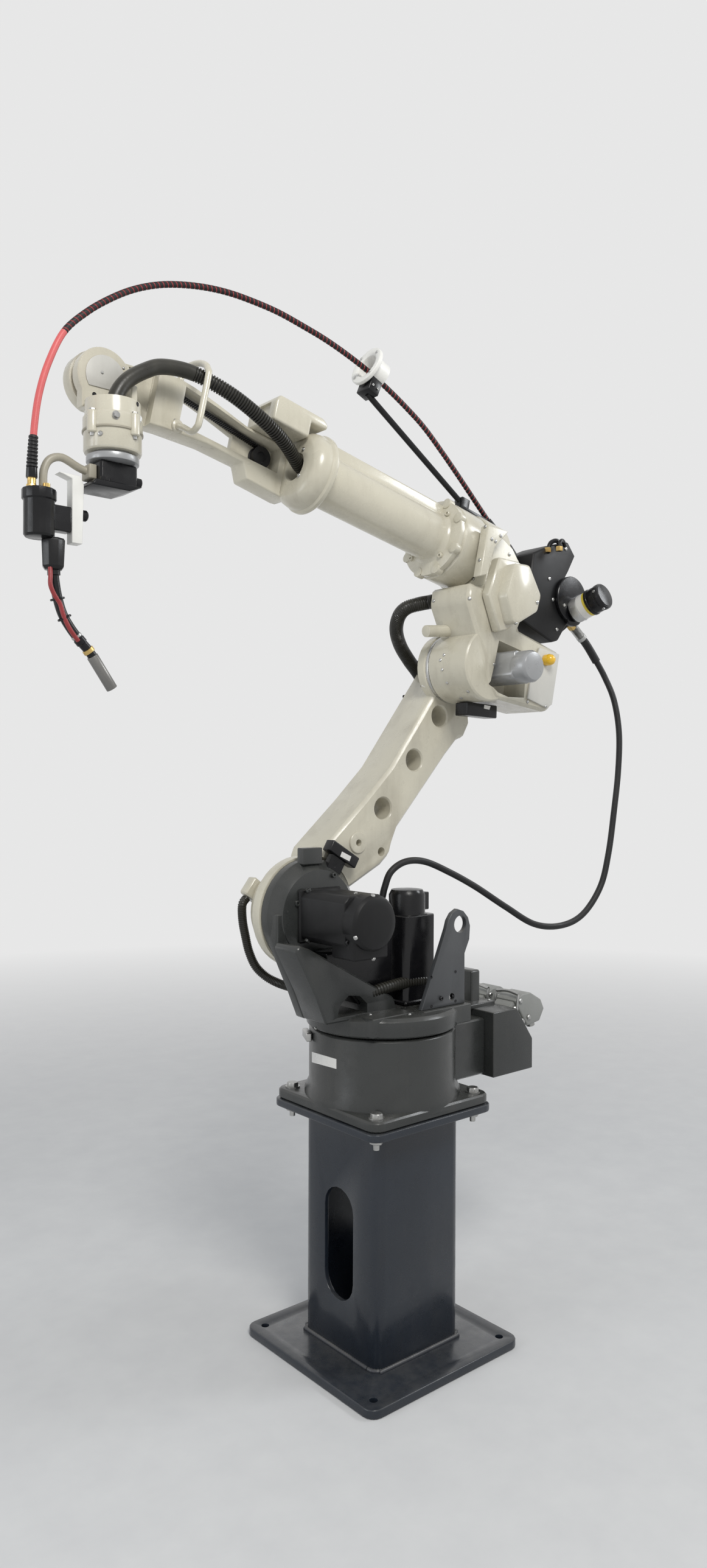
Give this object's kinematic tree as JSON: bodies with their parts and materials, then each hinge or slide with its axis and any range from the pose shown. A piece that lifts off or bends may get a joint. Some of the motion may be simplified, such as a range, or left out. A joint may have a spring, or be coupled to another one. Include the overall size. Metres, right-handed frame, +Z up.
{
  "type": "industrial robot arm",
  "caption": "Six-axis arc-welding robot arm on a square steel pedestal, with wire feeder, hollow-wrist forearm, welding torch and its cables.",
  "frame": {"origin": "centre of the underside of the pedestal foot plate, on the swivel axis", "axes": "+X the way the arm reaches, +Y its left side, +Z up along the swivel axis"},
  "size_m": [1.6799, 0.46, 2.3391],
  "materials": {
    "navy_paint": "satin",
    "gray_paint": "satin",
    "cast_aluminium": "satin",
    "black_coat": "satin",
    "cream_paint": "satin",
    "machined_steel": "satin",
    "light_gray_cover": "satin",
    "amber_lens": "gloss",
    "white_plastic": "satin",
    "dark_metal": "satin",
    "beige_bracket": "satin",
    "red_rubber": "satin",
    "black_rubber": "matte"
  },
  "bodies": {
    "base": {"pedestal_foot_plate": "navy_paint", "pedestal_column": "navy_paint", "pedestal_flange": "navy_paint", "base_casting": "gray_paint", "base_cable_box": "gray_paint", "connector_hoods": "cast_aluminium", "axis_stop_bracket": "cast_aluminium"},
    "swivel": {"swivel_casting": "gray_paint", "shoulder_motor": "black_coat", "swivel_motor": "black_coat", "lifting_plate": "gray_paint", "shoulder_switch": "black_coat", "supply_hose": "black_rubber", "shoulder_hose": "black_rubber"},
    "lower_link": {"lower_arm": "cream_paint", "elbow_reducer_ring": "machined_steel", "shoulder_cover": "cream_paint"},
    "elbow": {"elbow_casting": "cream_paint", "elbow_motor": "cast_aluminium", "elbow_side_cover": "cream_paint", "elbow_junction_box": "light_gray_cover", "elbow_rear_plate": "light_gray_cover", "status_lamp": "amber_lens", "elbow_switch": "black_coat", "wire_feeder": "black_coat", "feed_motor": "black_coat", "guide_rod": "black_coat", "guide_clamp": "black_coat", "guide_ring": "white_plastic", "torch_cable": "red_rubber", "elbow_hose": "black_rubber"},
    "forearm": {"forearm_tube": "cream_paint", "forearm_casting": "cream_paint", "forearm_panel": "light_gray_cover", "wrist_motor_cover": "cream_paint", "cable_guard_loop": "cream_paint", "wrist_end_cap": "cream_paint", "forearm_conduit": "black_rubber"},
    "wrist": {"wrist_casting": "cream_paint", "wrist_cover": "light_gray_cover"},
    "tool": {"tool_flange": "dark_metal", "shock_sensor": "black_coat", "torch_bracket": "beige_bracket", "torch_body": "black_coat", "torch_clamp_arm": "white_plastic", "torch_neck": "black_coat", "torch_nozzle": "cast_aluminium"}
  },
  "joints": [
    {"name": "swivel_turn", "type": "hinge", "parent": "base", "child": "swivel", "pos_m": [0, 0, 0.745], "axis": [0, 0, 1], "range_deg": [-165, 165]},
    {"name": "shoulder_pitch", "type": "hinge", "parent": "swivel", "child": "lower_link", "pos_m": [0.186, 0, 1.016], "axis": [0, 1, 0], "range_deg": [-38, 112], "deforming": ["shoulder_hose", "supply_hose"]},
    {"name": "elbow_pitch", "type": "hinge", "parent": "lower_link", "child": "elbow", "pos_m": [-0.26531, 0, 1.59866], "axis": [0, -1, 0], "range_deg": [-50, 150], "deforming": ["elbow_hose", "supply_hose"]},
    {"name": "forearm_roll", "type": "hinge", "parent": "elbow", "child": "forearm", "pos_m": [-0.32505, 0, 1.87221], "axis": [0.977, 0, 0.2134], "range_deg": [-150, 150], "deforming": ["torch_cable"]},
    {"name": "wrist_pitch", "type": "hinge", "parent": "forearm", "child": "wrist", "pos_m": [0.69882, 0, 2.09583], "axis": [0, 1, 0], "range_deg": [-190, 35], "deforming": ["forearm_conduit", "torch_cable"]},
    {"name": "tool_turn", "type": "hinge", "parent": "wrist", "child": "tool", "pos_m": [0.69882, 0, 1.9], "axis": [0, 0, 1], "range_deg": [-190, 190], "deforming": ["torch_cable"]}
  ]
}
